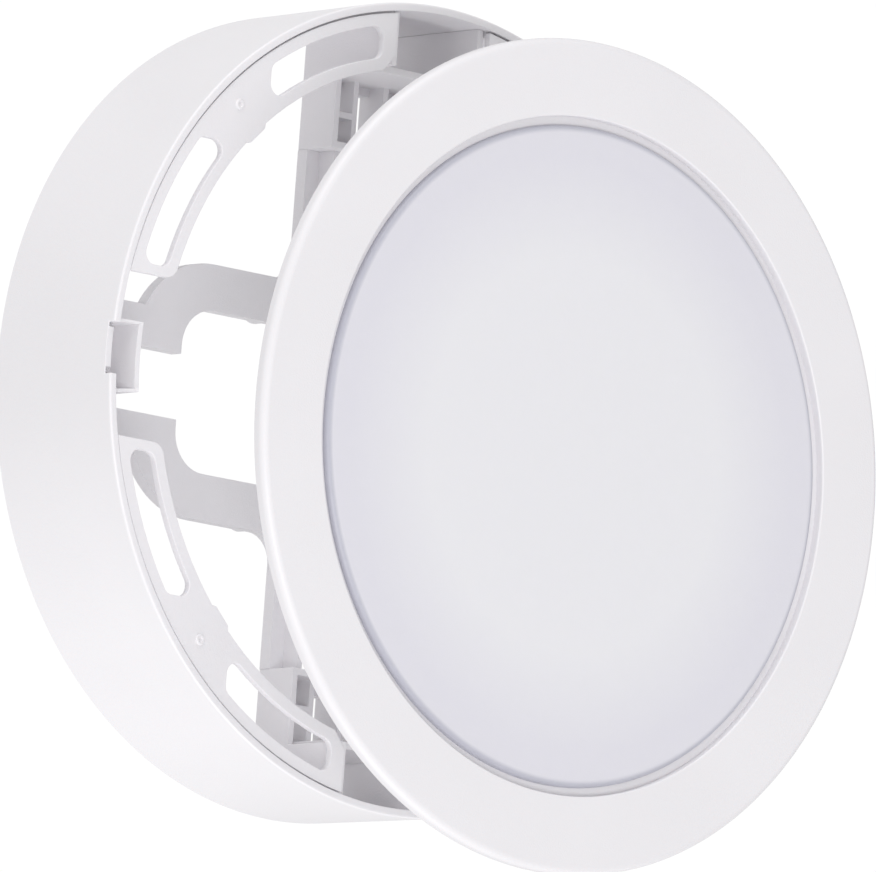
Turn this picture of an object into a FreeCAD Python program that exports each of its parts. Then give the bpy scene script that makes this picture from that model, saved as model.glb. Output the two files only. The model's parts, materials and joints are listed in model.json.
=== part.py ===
import FreeCAD, Part
import math
import os

# Soffit downlight: a slim round LED panel drawn down out of its surface-mounting ring.
# Millimetres. The ceiling is z = 0, the light shines towards -Z, the pry notch is at +X
# and the two spring clips stand at +Y and -Y. The panel is modelled where it sits home
# in the ring, and is carried to its drawn-out place when the nodes are written.

V = FreeCAD.Vector

# ---------------------------------------------------------------- ring
ring_r = 85.0               # sleeve, outside, at the front rim
sleeve_draft = 0.4          # the sleeve is smaller by this at the ceiling
ring_depth = 36.0           # ceiling to front rim
sleeve_wall = 1.75          # wall at the front rim
rim_round = 0.5             # rounding of the front rim
ledge_wide = 1.4            # ledge that carries the flange
ledge_thick = 1.6

flange_thick = 1.6
flange_inset = 0.4          # flange face behind the rim
flange_groove = 0.4         # groove between rim and flange
flange_wide = 14.0          # outside of the sleeve to the flange's inner edge
flange_near = 17.1          # edge beside the notch, at this |y|
flange_corner = 3.0         # chamfer at the inner end corner
slot_inset = 4.7            # outside of the sleeve to a slot
slot_wide = 6.7
slot_near_y = 19.2          # near slot, between these |y|
slot_near_end_y = 47.6
slot_far_x = 16.6           # far slot, between these |x|
slot_far_end_x = 46.8
slot_round = 2.4
dimple_angle = 45.5
dimple_r = 1.1
dimple_inset = 6.8
dimple_proud = 0.3
tab_reach = 0.8             # small tab inside the web between the slots, with sloped ends
tab_wide = 9.0
tab_slope = 2.0

notch_wide = 10.8           # pry notch in the rim
notch_deep = 1.8
notch_shift = 0.6           # notch centre above the X axis
pocket_inset = 7.0          # outside of the sleeve to the pocket's inner wall
pocket_wall = 1.2
pocket_tail = 8.1           # the pocket runs on below the notch to this |y|
pocket_deep = 9.0

# ---------------------------------------------------------------- rear frame
frame_gap = 6.7             # frame plate stands off the ceiling
frame_thick = 3.0
arm_inner_y = 17.1          # horizontal run of an arm, between these |y|
arm_outer_y = 26.8
arm_tip_inner_y = 6.9       # run into the sleeve, between these |y|
arm_tip_outer_y = 15.7
arm_bend_x = 43.2           # inside corner of the arm
arm_inner_round = 8.2
arm_outer_round = 20.0
arm_straight_x = 36.0       # where the outer bend ends
rail_fillet = 6.0
rail_half = 12.6            # outside of the two rails and of the receivers
rail_foot = 3.6             # width of the rail's foot
rail_web = 1.4
rail_web_rise = 4.6         # web above the foot
boss_r = 4.0
screw_hole_r = 2.25
screw_x = 15.8              # ceiling screws at this |x|

# ---------------------------------------------------------------- spring receivers
receiver_long = 30.2        # start of a receiver to the outside of the sleeve
receiver_rise = 7.6         # side walls above the frame plate
receiver_wall = 1.5
tongue_inset = 14.8         # inside face of the tongue to the outside of the sleeve
tongue_thick = 1.5
tongue_side_gap = 0.6
tongue_short = 5.2          # tongue ends this far behind the flange
cheek_long = 14.0           # full-depth cheeks, to the outside of the sleeve
rib_x = 4.2
rib_thick = 1.4
rib_drop = 3.0              # ribs end below the side walls
cross_rib_place = 7.8       # from the start of the receiver
pocket_floor = 4.0          # closed floor of the receiver, from its start
window_edge = 1.8

# ---------------------------------------------------------------- panel
trim_overhang = 1.2         # trim beyond the sleeve
trim_wide = 16.1            # visible width of the trim
trim_thick = 3.0
trim_round = 1.6
trim_open_round = 0.4
groove_deep = 2.0           # shadow groove round the diffuser
trim_wall = 1.1             # rear wall round the optics
can_clear = 1.3             # rear wall to the tongues when home
can_deep = 6.3              # back of the panel behind the trim's back
diffuser_inset = 0.6        # diffuser face behind the trim face
diffuser_thick = 2.85
diffuser_round = 1.2
diffuser_fit = 0.1          # diffuser to the wall round it
shadow_gap = 1.8            # between the opening and the diffuser
snap_bead = 0.3             # bead on the diffuser, in a groove of the wall
snap_fit = 0.05
snap_place = 2.1            # bead behind the diffuser's face
guide_thick = 3.0
sheet_thick = 0.5
foam_thick = 1.2
back_thick = 1.0
stack_gap = 0.05
led_count = 48
led_wide = 2.8
led_tall = 1.4
led_deep = 0.7
led_board_thick = 0.35
led_air = 0.3               # light guide edge to LED face
seal_inset = 1.1            # outside of the sleeve to the seal
seal_wide = 1.5
seal_thick = 1.0
bead_inset = 11.9           # pressed bead in the back plate, from its edge
bead_wide = 3.0
bead_rise = 0.8
lug_long = 6.4              # two lugs that screw the back plate down
lug_half = 11.5
lug_screw_inset = 2.9       # screws from the end of a lug
lug_screw_y = 7.6

# ---------------------------------------------------------------- driver
driver_long = 96.0
driver_wide = 42.0
driver_tall = 13.0          # with its lid
driver_wall = 1.5
driver_round = 4.0
lid_thick = 1.5
lid_lip = 1.2
lid_fit = 0.2
lid_edge_round = 0.6
post_r = 2.6
rest_r = 1.6                # rests under the board, towards the middle from the posts
rest_place = 0.72
board_thick = 1.2
board_clear = 0.5
board_lift = 1.5
core_long = 17.0            # transformer core
core_wide = 15.0
core_tall = 6.0
core_leg = 3.0              # outer legs of the core
core_yoke = 1.6
winding_proud = 1.5
capacitor_r = 2.4
capacitor_long = 11.0
capacitor_end = 17.0        # capacitors to the far end of the board
capacitor_round = 0.5
choke_r = 5.2
choke_tall = 4.6
choke_place = 19.0          # from the middle of the driver
choke_edge = 4.8            # choke to the edge of the board
terminal_long = 9.0
terminal_wide = 13.0
terminal_tall = 6.0
terminal_gap = 5.0
terminal_pit = 2.4          # screws sit in pits
terminal_screw_tall = 1.6
terminal_slot = 0.6
terminal_screw_r = 1.5
terminal_hole_r = 1.3
gland_thread_r = 4.2
gland_collar = 2.2
gland_across = 10.6         # across the flats of collar and nut
gland_nut_long = 4.4
gland_wall = 1.0
gland_bore_r = 2.4          # for the supply cable
nut_chamfer = 0.7
nut_mouth = 0.3             # mouth of the nut wider than the seal's bore
screw_shank_r = 1.1
screw_head_r = 2.0
screw_head = 0.8
screw_long = 4.0
screw_clear = 0.15          # a hole is larger than its screw by this
cross_wide = 0.5            # cross recess
cross_reach = 0.62          # of the head's radius

# ---------------------------------------------------------------- spring clips
leg_inset = 7.9             # clip legs to the outside of the sleeve
pin_r = 1.25
pin_head_r = 2.0
pin_head = 0.7
pin_fit = 0.05              # running clearance on the pin
pin_height = 4.0            # pin above the trim's back
bracket_half = 9.0          # ears of the bracket, outside
bracket_thick = 1.0
bracket_round = 1.5
bracket_foot = 4.8          # foot of the bracket, inward from the legs
ear_r = 2.6
wire_r = 0.7
leg_half = 6.0              # the two legs of a clip at this |x|
leg_long = 13.5             # pin to tip
leg_bend = 2.2
coil_wire_r = 0.4
coil_turns = 5.25
coil_foot_tail = 1.8
coil_leg_tail = 5.0
coil_elbow_r = 0.44         # bends between the coil and its tails
coil_pitch = 1.3
grip_r = 1.1                # sleeve tube on the tip
grip_fit = 0.2              # tube to the bends at each end
bracket_screw_x = 4.6
bracket_screw_inset = 2.5   # inward from the legs
skin = 1.0                  # trim left under its blind screw holes
screw_tip_gap = 0.2

# ---------------------------------------------------------------- drawn-out place of the panel
pull_out = 45.7             # along the axis
side_shift = 12.2           # towards -Y

sleeve_rear_r = ring_r - sleeve_draft
flange_inner_r = ring_r - flange_wide
slot_outer_r = ring_r - slot_inset
slot_inner_r = slot_outer_r - slot_wide
pocket_r = ring_r - pocket_inset
receiver_start = ring_r - receiver_long
tongue_y = ring_r - tongue_inset
panel_r = ring_r + trim_overhang
trim_open_r = panel_r - trim_wide
seal_outer_r = ring_r - seal_inset
leg_y = ring_r - leg_inset
front_z = -ring_depth
frame_rear_z = -frame_gap
frame_front_z = -(frame_gap + frame_thick)
sleeve_bore_r = ring_r - sleeve_wall
flange_front_z = front_z + flange_inset
flange_rear_z = flange_front_z + flange_thick
receiver_front_z = frame_front_z - receiver_rise
trim_back_z = front_z - seal_thick - stack_gap
trim_face_z = trim_back_z - trim_thick
can_back_z = trim_back_z + can_deep
can_r = tongue_y - can_clear
optics_r = can_r - trim_wall
lug_reach = can_r + lug_long
diffuser_face_z = trim_face_z + diffuser_inset
snap_z = diffuser_face_z + snap_place
driver_top_z = can_back_z + driver_tall
pin_z = trim_back_z + pin_height
eye_r = pin_r + pin_fit + wire_r
pin_y = leg_y + eye_r


# ---------------------------------------------------------------- helpers
def cylinder(radius, low, high, x=0.0, y=0.0):
    return Part.makeCylinder(radius, high - low, V(x, y, low))


def tube(outer, inner, low, high, x=0.0, y=0.0):
    return cylinder(outer, low, high, x, y).cut(cylinder(inner, low - 1.0, high + 1.0, x, y))


def block(x0, x1, y0, y1, z0, z1):
    return Part.makeBox(x1 - x0, y1 - y0, z1 - z0, V(x0, y0, z0))


def lathe(points):
    """Turn a closed outline of (r, z) points about the Z axis."""
    corners = [V(r, 0, z) for r, z in points]
    face = Part.Face(Part.makePolygon(corners + corners[:1]))
    return face.revolve(V(0, 0, 0), V(0, 0, 1), 360)


def plate(edges, low, high):
    """Raise a flat closed outline, drawn at z = 0, between two heights."""
    face = Part.Face(Part.Wire(Part.__sortEdges__(edges)))
    face.translate(V(0, 0, low))
    return face.extrude(V(0, 0, high - low))


def line(a, b):
    return Part.LineSegment(V(a[0], a[1], 0), V(b[0], b[1], 0)).toShape()


def arc(a, middle, b):
    return Part.Arc(V(a[0], a[1], 0), V(middle[0], middle[1], 0), V(b[0], b[1], 0)).toShape()


def on_circle(radius, degrees, centre=(0.0, 0.0)):
    turn = math.radians(degrees)
    return centre[0] + radius * math.cos(turn), centre[1] + radius * math.sin(turn)


def turned(shape, degrees):
    copy = shape.copy()
    copy.rotate(V(0, 0, 0), V(0, 0, 1), degrees)
    return copy


def mirrored_x(shape):
    return shape.mirror(V(0, 0, 0), V(1, 0, 0))


def mirrored_y(shape):
    return shape.mirror(V(0, 0, 0), V(0, 1, 0))


def fuse(shapes):
    whole = shapes[0]
    if len(shapes) > 1:
        whole = whole.fuse(shapes[1:])
    return whole.removeSplitter()


def group(shapes):
    solids = []
    for shape in shapes:
        solids.extend(shape.Solids)
    return Part.makeCompound(solids)


def upright_edges(shape, keep):
    """Edges along Z whose foot satisfies keep(x, y)."""
    found = []
    for edge in shape.Edges:
        a, b = edge.Vertexes[0].Point, edge.Vertexes[-1].Point
        if abs(a.x - b.x) < 1e-6 and abs(a.y - b.y) < 1e-6 and keep(a.x, a.y):
            found.append(edge)
    return found


def level_edges(shape, z, keep=lambda edge: True):
    """Edges that lie at one height."""
    return [edge for edge in shape.Edges
            if all(abs(v.Z - z) < 1e-6 for v in edge.Vertexes) and keep(edge)]


# ---------------------------------------------------------------- ring pieces
def outer_sleeve():
    ledge_r = sleeve_bore_r - ledge_wide
    outline = [(sleeve_rear_r, 0.0), (ring_r, front_z), (sleeve_bore_r, front_z),
               (sleeve_bore_r, flange_rear_z), (ledge_r, flange_rear_z),
               (ledge_r, flange_rear_z + ledge_thick),
               (sleeve_bore_r, flange_rear_z + ledge_thick + ledge_wide),
               (sleeve_bore_r, 0.0)]
    body = lathe(outline)
    rim = level_edges(body, front_z, lambda edge: edge.BoundBox.XMax > ring_r - 0.1)
    body = body.makeFillet(rim_round, rim)
    mouth = rail_half + flange_groove
    clear = cylinder(sleeve_bore_r, flange_rear_z - 0.5, flange_rear_z + ledge_thick + ledge_wide + 0.5)
    body = body.cut(clear.common(block(-mouth, mouth, -ring_r, ring_r, front_z, 0)))
    low, high = notch_shift - notch_wide / 2, notch_shift + notch_wide / 2
    body = body.cut(clear.common(block(0, ring_r, -flange_near, flange_near, front_z, 0)))
    body = fuse([body, notch_pocket(low, high)])
    notch = tube(ring_r + 1, sleeve_bore_r, front_z - 1, front_z + notch_deep)
    return body.cut(notch.common(block(0, ring_r + 1, low, high, front_z - 1, 0)))


def notch_pocket(low, high):
    """Tray behind the pry notch, closed at both ends and at the bottom."""
    top = front_z + flange_inset
    bottom = top + pocket_deep
    tail = -pocket_tail
    shell = tube(sleeve_bore_r + sleeve_wall / 3, pocket_r - pocket_wall, top, bottom)
    shell = shell.common(block(0, ring_r, tail, high + pocket_wall, top, bottom))
    hollow = tube(sleeve_bore_r, pocket_r, top - 1, bottom - pocket_wall)
    hollow = hollow.common(block(0, ring_r, tail + pocket_wall, high, top - 1, bottom))
    return shell.cut(hollow)


def flange_slot(edges_of, low, high):
    ring = tube(slot_outer_r, slot_inner_r, low, high)
    slot = ring.common(edges_of)
    return slot.makeFillet(slot_round, upright_edges(slot, lambda x, y: True))


def flange_sector():
    """One of the four flat sectors, between the notch side and a spring receiver."""
    low, high = flange_front_z, flange_rear_z
    outer = sleeve_bore_r - flange_groove
    far = rail_half + flange_groove
    quarter = block(far, ring_r, flange_near, ring_r, low, high)
    sector = tube(outer, flange_inner_r, low, high).common(quarter)
    corner_y = math.sqrt(flange_inner_r ** 2 - far ** 2)
    corner = upright_edges(sector, lambda x, y: abs(x - far) < 0.01 and abs(y - corner_y) < 0.01)
    sector = sector.makeChamfer(flange_corner, corner)
    corner_x = math.sqrt(flange_inner_r ** 2 - flange_near ** 2)
    corner = upright_edges(sector, lambda x, y: abs(y - flange_near) < 0.01 and abs(x - corner_x) < 0.01)
    sector = sector.makeFillet(flange_corner, corner)
    root, tip, half = slot_inner_r, flange_inner_r - tab_reach, tab_wide / 2
    base = flange_inner_r + tab_reach
    corners = [(root, -half), (base, -half), (tip, tab_slope - half), (tip, half - tab_slope),
               (base, half), (root, half)]
    tab = plate([line(a, b) for a, b in zip(corners, corners[1:] + corners[:1])], low, high)
    tab = turned(tab, dimple_angle)
    sector = fuse([sector, tab])
    near = block(0, ring_r, slot_near_y, slot_near_end_y, low - 1, high + 1)
    far_slot = block(slot_far_x, slot_far_end_x, 0, ring_r, low - 1, high + 1)
    sector = sector.cut(flange_slot(near, low, high)).cut(flange_slot(far_slot, low, high))
    x, y = on_circle(ring_r - dimple_inset, dimple_angle)
    dimple = tube(dimple_r, dimple_r * 0.45, low - dimple_proud, low + flange_thick / 2, x, y)
    return fuse([sector, dimple])


def front_flange():
    sector = flange_sector()
    pair = [sector, mirrored_y(sector)]
    return group(pair + [mirrored_x(piece) for piece in pair])


def arm_outline():
    """Outline of one arm, from the sleeve to its rail, on the +X +Y side."""
    reach = ring_r
    inner_turn = (arm_bend_x - arm_inner_round, arm_inner_y - arm_inner_round)
    outer_turn = (arm_straight_x, arm_outer_y - arm_outer_round)
    drop = arm_outer_round - (arm_outer_y - arm_tip_outer_y)
    end_angle = math.degrees(math.asin(drop / arm_outer_round))
    inner_end = (arm_bend_x, inner_turn[1])
    outer_end = on_circle(arm_outer_round, end_angle, outer_turn)
    rail_in = rail_half - rail_foot
    start = (rail_in, arm_inner_y)
    return [line(start, (inner_turn[0], arm_inner_y)),
            arc((inner_turn[0], arm_inner_y), on_circle(arm_inner_round, 45, inner_turn), inner_end),
            line(inner_end, (arm_bend_x, arm_tip_inner_y)),
            line((arm_bend_x, arm_tip_inner_y), (reach, arm_tip_inner_y)),
            line((reach, arm_tip_inner_y), (reach, arm_tip_outer_y)),
            line((reach, arm_tip_outer_y), outer_end),
            arc(outer_end, on_circle(arm_outer_round, (end_angle + 90) / 2, outer_turn),
                (arm_straight_x, arm_outer_y)),
            line((arm_straight_x, arm_outer_y), (rail_in, arm_outer_y)),
            line((rail_in, arm_outer_y), start)]


def rail_corner():
    """Filler between the arm's outer edge and the rail, rounded to rail_fillet."""
    x, y, r = rail_half, arm_outer_y, rail_fillet
    centre = (x + r, y + r)
    return [line((x, y), (x + r, y)),
            arc((x + r, y), on_circle(r, 225, centre), (x, y + r)),
            line((x, y + r), (x, y))]


def rear_frame():
    low, high = frame_front_z, frame_rear_z
    arm = plate(arm_outline(), low, high)
    arm = arm.common(cylinder(sleeve_bore_r, low, high))
    quarter = [arm, plate(rail_corner(), low, high)]
    quarter.append(block(0, rail_half, arm_inner_y, arm_outer_y, low, high))
    foot_in = rail_half - rail_foot
    quarter.append(block(foot_in, rail_half, 0, receiver_start, low, high))
    quarter.append(block(foot_in - rail_web, foot_in, 0, receiver_start, low - rail_web_rise, high))
    screw_y = (arm_inner_y + arm_outer_y) / 2
    quarter.append(cylinder(boss_r, high, 0.0, screw_x, screw_y))
    corner = fuse(quarter).cut(cylinder(screw_hole_r, low - 1, 1.0, screw_x, screw_y))
    half = fuse([corner, mirrored_y(corner)])
    return fuse([half, mirrored_x(half)])


def spring_receiver():
    """Receiver at +Y: a shallow cell, a springy tongue and two full-depth cheeks."""
    low, high = frame_front_z, frame_rear_z
    outer, inner = rail_half, rail_half - receiver_wall
    reach = ring_r
    tongue_out = tongue_y + tongue_thick
    side = block(inner, outer, receiver_start, reach, receiver_front_z, high)
    cheek = block(inner, outer, ring_r - cheek_long, reach, flange_rear_z, high)
    end_wall = block(0, outer, receiver_start, receiver_start + receiver_wall, receiver_front_z, high)
    floor = block(0, outer, receiver_start, receiver_start + pocket_floor, low, high)
    bridge = block(0, outer, tongue_y - window_edge, tongue_out, low, high)
    rib = block(rib_x - rib_thick / 2, rib_x + rib_thick / 2, receiver_start, tongue_out,
                receiver_front_z + rib_drop, high)
    cross_y = receiver_start + cross_rib_place
    cross = block(rib_x, outer, cross_y - rib_thick / 2, cross_y + rib_thick / 2,
                  receiver_front_z + rib_drop, high)
    tongue = block(0, inner - tongue_side_gap, tongue_y, tongue_out, flange_rear_z + tongue_short, high)
    half = fuse([side, cheek, end_wall, floor, bridge, rib, cross, tongue])
    whole = fuse([half, mirrored_x(half)])
    return whole.common(cylinder(sleeve_bore_r, front_z, 0))


# ---------------------------------------------------------------- panel pieces
def trim_frame():
    """Face ring with a rear wall that holds the optics."""
    floor_z = trim_face_z + groove_deep
    wall_end = can_back_z - back_thick
    snap = snap_bead + snap_fit
    body = lathe([(trim_open_r, trim_face_z), (panel_r, trim_face_z), (panel_r, trim_back_z),
                  (can_r, trim_back_z), (can_r, wall_end), (optics_r, wall_end),
                  (optics_r, snap_z + snap), (optics_r + snap, snap_z), (optics_r, snap_z - snap),
                  (optics_r, floor_z), (trim_open_r, floor_z)])
    outer = level_edges(body, trim_face_z, lambda edge: edge.BoundBox.XMax > panel_r - 0.1)
    body = body.makeFillet(trim_round, outer)
    inner = level_edges(body, trim_face_z, lambda edge: edge.BoundBox.XMax < trim_open_r * 1.3
                        and edge.Curve.Radius < trim_open_r + 0.01)
    body = body.makeFillet(trim_open_round, inner)
    for side in (0, 180):
        body = body.fuse(turned(lug_boss(), side))
    body = body.removeSplitter()
    for x, y in lug_screws():
        body = body.cut(cylinder(screw_shank_r, wall_end - screw_long + back_thick, wall_end + 1, x, y))
    for x, y in bracket_screws_at():
        body = body.cut(cylinder(screw_shank_r, trim_face_z + skin, trim_back_z + 1, x, y))
    return body


def lug_boss():
    """Raised pad on the trim's back, under one lug of the back plate."""
    pad = lug_plan(trim_back_z, can_back_z - back_thick)
    return pad.cut(cylinder(can_r - trim_wall / 2, trim_back_z - 1, can_back_z + 1))


def lug_plan(low, high):
    pad = block(0, lug_reach, -lug_half, lug_half, low, high)
    far = upright_edges(pad, lambda x, y: x > lug_reach - 0.01)
    return pad.makeFillet(lug_reach - can_r, far)


def lug_screws():
    x = lug_reach - lug_screw_inset
    return [(sx * x, sy * lug_screw_y) for sx in (1, -1) for sy in (1, -1)]


def bracket_screws_at():
    y = leg_y - bracket_screw_inset
    return [(sx * bracket_screw_x, sy * y) for sx in (1, -1) for sy in (1, -1)]


def diffuser():
    """Opal cap on the groove's floor, with a plug whose bead snaps into the wall."""
    face_r = trim_open_r - shadow_gap
    plug_r = optics_r - diffuser_fit
    front = diffuser_face_z
    seat = trim_face_z + groove_deep
    rear = front + diffuser_thick
    body = lathe([(0, front), (face_r, front), (face_r, seat), (plug_r, seat),
                  (plug_r, snap_z - snap_bead), (plug_r + snap_bead, snap_z),
                  (plug_r, snap_z + snap_bead), (plug_r, rear), (0, rear)])
    return body.makeFillet(diffuser_round, level_edges(body, front))


def stack_levels():
    """Rear faces of the layers behind the diffuser, in order."""
    z = diffuser_face_z + diffuser_thick
    levels = []
    for thick in (guide_thick, sheet_thick, foam_thick):
        low = z + stack_gap
        z = low + thick
        levels.append((low, z))
    return levels


def guide_r():
    return optics_r - stack_gap - led_board_thick - led_deep - led_air


def light_guide():
    return cylinder(guide_r(), *stack_levels()[0])


def reflector_sheet():
    return cylinder(guide_r(), *stack_levels()[1])


def foam_pad():
    low, high = stack_levels()[2]
    return cylinder(guide_r(), low, high)


def led_board():
    outer = optics_r - stack_gap
    low, high = stack_levels()[0]
    return tube(outer, outer - led_board_thick, low, high)


def led_chips():
    outer = optics_r - stack_gap - led_board_thick
    low, high = stack_levels()[0]
    middle = (low + high) / 2
    reach = math.sqrt(outer ** 2 - (led_wide / 2) ** 2)
    chip = block(reach - led_deep, reach, -led_wide / 2, led_wide / 2,
                 middle - led_tall / 2, middle + led_tall / 2)
    return group([turned(chip, 360 * i / led_count) for i in range(led_count)])


def back_plate():
    """Flat cover with a pressed bead and two screw lugs."""
    low, high = can_back_z - back_thick, can_back_z
    bead_out = can_r - bead_inset
    bead_in = bead_out - bead_wide
    body = lathe([(0, low), (bead_in, low), (bead_in + bead_rise, low + bead_rise),
                  (bead_out - bead_rise, low + bead_rise), (bead_out, low), (can_r, low),
                  (can_r, high), (bead_out, high), (bead_out - bead_rise, high + bead_rise),
                  (bead_in + bead_rise, high + bead_rise), (bead_in, high), (0, high)])
    body = fuse([body, lug_plan(low, high), turned(lug_plan(low, high), 180)])
    for x, y in lug_screws():
        body = body.cut(cylinder(screw_shank_r + screw_clear, low - 1, high + 1, x, y))
    return body


def screw(x, y, under_head, length, head_r=screw_head_r):
    """Pan-head screw, driven from above into -Z, with a cross recess."""
    head = cylinder(head_r, under_head, under_head + screw_head, x, y)
    head = head.makeFillet(screw_head * 0.45, level_edges(head, under_head + screw_head))
    shank = cylinder(screw_shank_r - stack_gap, under_head - length, under_head, x, y)
    slot, half = head_r * cross_reach, cross_wide / 2
    low, high = under_head + screw_head / 2, under_head + 2 * screw_head
    cross = block(x - slot, x + slot, y - half, y + half, low, high)
    cross = cross.fuse(block(x - half, x + half, y - slot, y + slot, low, high))
    return head.fuse(shank).removeSplitter().cut(cross)


def back_screws():
    return group([screw(x, y, can_back_z, screw_long) for x, y in lug_screws()])


def seal_ring():
    return tube(seal_outer_r, seal_outer_r - seal_wide, trim_back_z, trim_back_z + seal_thick)


# ---------------------------------------------------------------- driver
def rounded_box(x, y, low, high, radius):
    box = block(-x / 2, x / 2, -y / 2, y / 2, low, high)
    return box.makeFillet(radius, upright_edges(box, lambda ex, ey: True))


def driver_posts_at():
    x = driver_long / 2 - driver_wall - post_r
    y = driver_wide / 2 - driver_wall - post_r
    return [(sx * x, sy * y) for sx in (1, -1) for sy in (1, -1)]


def gland_z():
    return can_back_z + (driver_tall - lid_thick) / 2


def driver_case():
    low, high = can_back_z, driver_top_z - lid_thick
    outer = rounded_box(driver_long, driver_wide, low, high, driver_round)
    inner = rounded_box(driver_long - 2 * driver_wall, driver_wide - 2 * driver_wall,
                        low + driver_wall, high + 1, driver_round - driver_wall)
    body = outer.cut(inner)
    floor = low + driver_wall
    posts = [cylinder(post_r, floor, high - lid_lip, x, y) for x, y in driver_posts_at()]
    rests = [cylinder(rest_r, floor, floor + board_lift, x * rest_place, y) for x, y in driver_posts_at()]
    body = fuse([body] + posts + rests)
    for x, y in driver_posts_at():
        body = body.cut(cylinder(screw_shank_r, high - lid_lip - screw_long, high, x, y))
    hole = Part.makeCylinder(gland_thread_r + stack_gap, driver_wall + 2,
                             V(-driver_long / 2 - 1, 0, gland_z()), V(1, 0, 0))
    return body.cut(hole)


def driver_lid():
    low, high = driver_top_z - lid_thick, driver_top_z
    cover = rounded_box(driver_long, driver_wide, low, high, driver_round)
    cover = cover.makeFillet(lid_edge_round, level_edges(cover, high))
    inner_x = driver_long - 2 * driver_wall - 2 * lid_fit
    inner_y = driver_wide - 2 * driver_wall - 2 * lid_fit
    rim = rounded_box(inner_x, inner_y, low - lid_lip + stack_gap, low, driver_round - driver_wall)
    rim = rim.cut(block(-inner_x / 2 + lid_lip, inner_x / 2 - lid_lip, -inner_y / 2 + lid_lip,
                        inner_y / 2 - lid_lip, low - lid_lip - 1, low))
    body = fuse([cover, rim])
    for x, y in driver_posts_at():
        body = body.cut(cylinder(screw_shank_r + screw_clear, low - lid_lip - 1, high + 1, x, y))
        body = body.cut(cylinder(screw_head_r + screw_clear, high - screw_head, high + 1, x, y))
    return body


def driver_screws():
    return group([screw(x, y, driver_top_z - screw_head, screw_long) for x, y in driver_posts_at()])


def board_level():
    low = can_back_z + driver_wall + board_lift
    return low, low + board_thick


def board_half():
    edge = driver_wall + board_clear
    return driver_long / 2 - edge, driver_wide / 2 - edge


def driver_board():
    """Board with its corners cut round the screw posts and one end round the gland."""
    low, high = board_level()
    x, y = board_half()
    body = block(-x, x, -y, y, low, high)
    reach = post_r + board_clear
    for px, py in driver_posts_at():
        corner = block(abs(px) - reach, driver_long, abs(py) - reach, driver_wide, low, high)
        if px < 0:
            corner = mirrored_x(corner)
        if py < 0:
            corner = mirrored_y(corner)
        body = body.cut(corner)
    reach = gland_thread_r + board_clear
    inner_end = -driver_long / 2 + driver_wall + gland_collar + board_clear
    return body.cut(block(-driver_long, inner_end, -reach, reach, low, high))


def transformer():
    """Ferrite core with its wound former."""
    low = board_level()[1]
    x, y = core_long / 2, core_wide / 2
    bottom, top = low + core_yoke, low + core_tall - core_yoke
    core = block(-x, x, -y, y, low, low + core_tall)
    window = block(core_leg - x, x - core_leg, -core_wide, core_wide, bottom, top)
    winding = block(core_leg - x, x - core_leg, -y - winding_proud, y + winding_proud, bottom, top)
    winding = winding.makeFillet(winding_proud / 2, [e for e in winding.Edges if e.BoundBox.XLength > 1])
    return fuse([core.cut(window), winding])


def capacitors():
    """Three lying cans, spaced evenly over the board's width."""
    z = board_level()[1] + capacitor_r
    half_x, half_y = board_half()
    start = half_x - capacitor_end - capacitor_long / 2
    solids = []
    for step in (-1, 0, 1):
        can = Part.makeCylinder(capacitor_r, capacitor_long, V(start, step * half_y / 2, z), V(1, 0, 0))
        solids.append(can.makeFillet(capacitor_round, [can.Edges[0], can.Edges[2]]))
    return group(solids)


def choke():
    """Toroid lying on the board."""
    y = board_half()[1] - choke_edge - choke_r
    thick = choke_tall / 2
    return Part.makeTorus(choke_r - thick, thick, V(-choke_place, y, board_level()[1] + thick))


def terminal_place():
    return -driver_long / 2 + driver_wall + gland_collar + terminal_gap + terminal_long / 2


def terminal_poles():
    return [-terminal_wide / 4, terminal_wide / 4]


def terminal_block():
    low = board_level()[1]
    top = low + terminal_tall
    mid, half = terminal_place(), terminal_long / 2
    body = block(mid - half, mid + half, -terminal_wide / 2, terminal_wide / 2, low, top)
    body = body.makeChamfer(1.0, level_edges(body, top, lambda edge: edge.BoundBox.XMax < mid))
    for pole in terminal_poles():
        pit = cylinder(terminal_screw_r + stack_gap, top - terminal_pit, top + 1, mid + 1, pole)
        hole = Part.makeCylinder(terminal_hole_r, terminal_long * 0.6,
                                 V(mid - half - 0.1, pole, low + terminal_tall * 0.36), V(1, 0, 0))
        body = body.cut(pit).cut(hole)
    return body


def terminal_screws():
    low = board_level()[1] + terminal_tall - terminal_pit
    x, half = terminal_place() + 1, terminal_slot / 2
    solids = []
    for pole in terminal_poles():
        pin = cylinder(terminal_screw_r, low, low + terminal_screw_tall, x, pole)
        slot = block(x - 2 * terminal_screw_r, x + 2 * terminal_screw_r, pole - half, pole + half,
                     low + terminal_screw_tall / 2, low + terminal_pit)
        solids.append(pin.cut(slot))
    return group(solids)


# ---------------------------------------------------------------- cable gland
def hexagon(across, x0, x1, z):
    radius = across / math.sqrt(3)
    points = [V(x0, radius * math.cos(math.radians(60 * i)), z + radius * math.sin(math.radians(60 * i)))
              for i in range(6)]
    return Part.Face(Part.makePolygon(points + points[:1])).extrude(V(x1 - x0, 0, 0))


def along_x(radius, x0, x1, z):
    return Part.makeCylinder(radius, x1 - x0, V(x0, 0, z), V(1, 0, 0))


def gland_body():
    """Collar against the case's end wall, with a thread on each side."""
    wall = -driver_long / 2
    z = gland_z()
    inside = wall + driver_wall + gland_collar
    outside = wall - gland_collar - gland_nut_long + gland_wall
    body = fuse([along_x(gland_thread_r, outside, inside, z),
                 hexagon(gland_across, wall - gland_collar, wall, z)])
    return body.cut(along_x(gland_thread_r - gland_wall, outside - 1, inside + 1, z))


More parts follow.
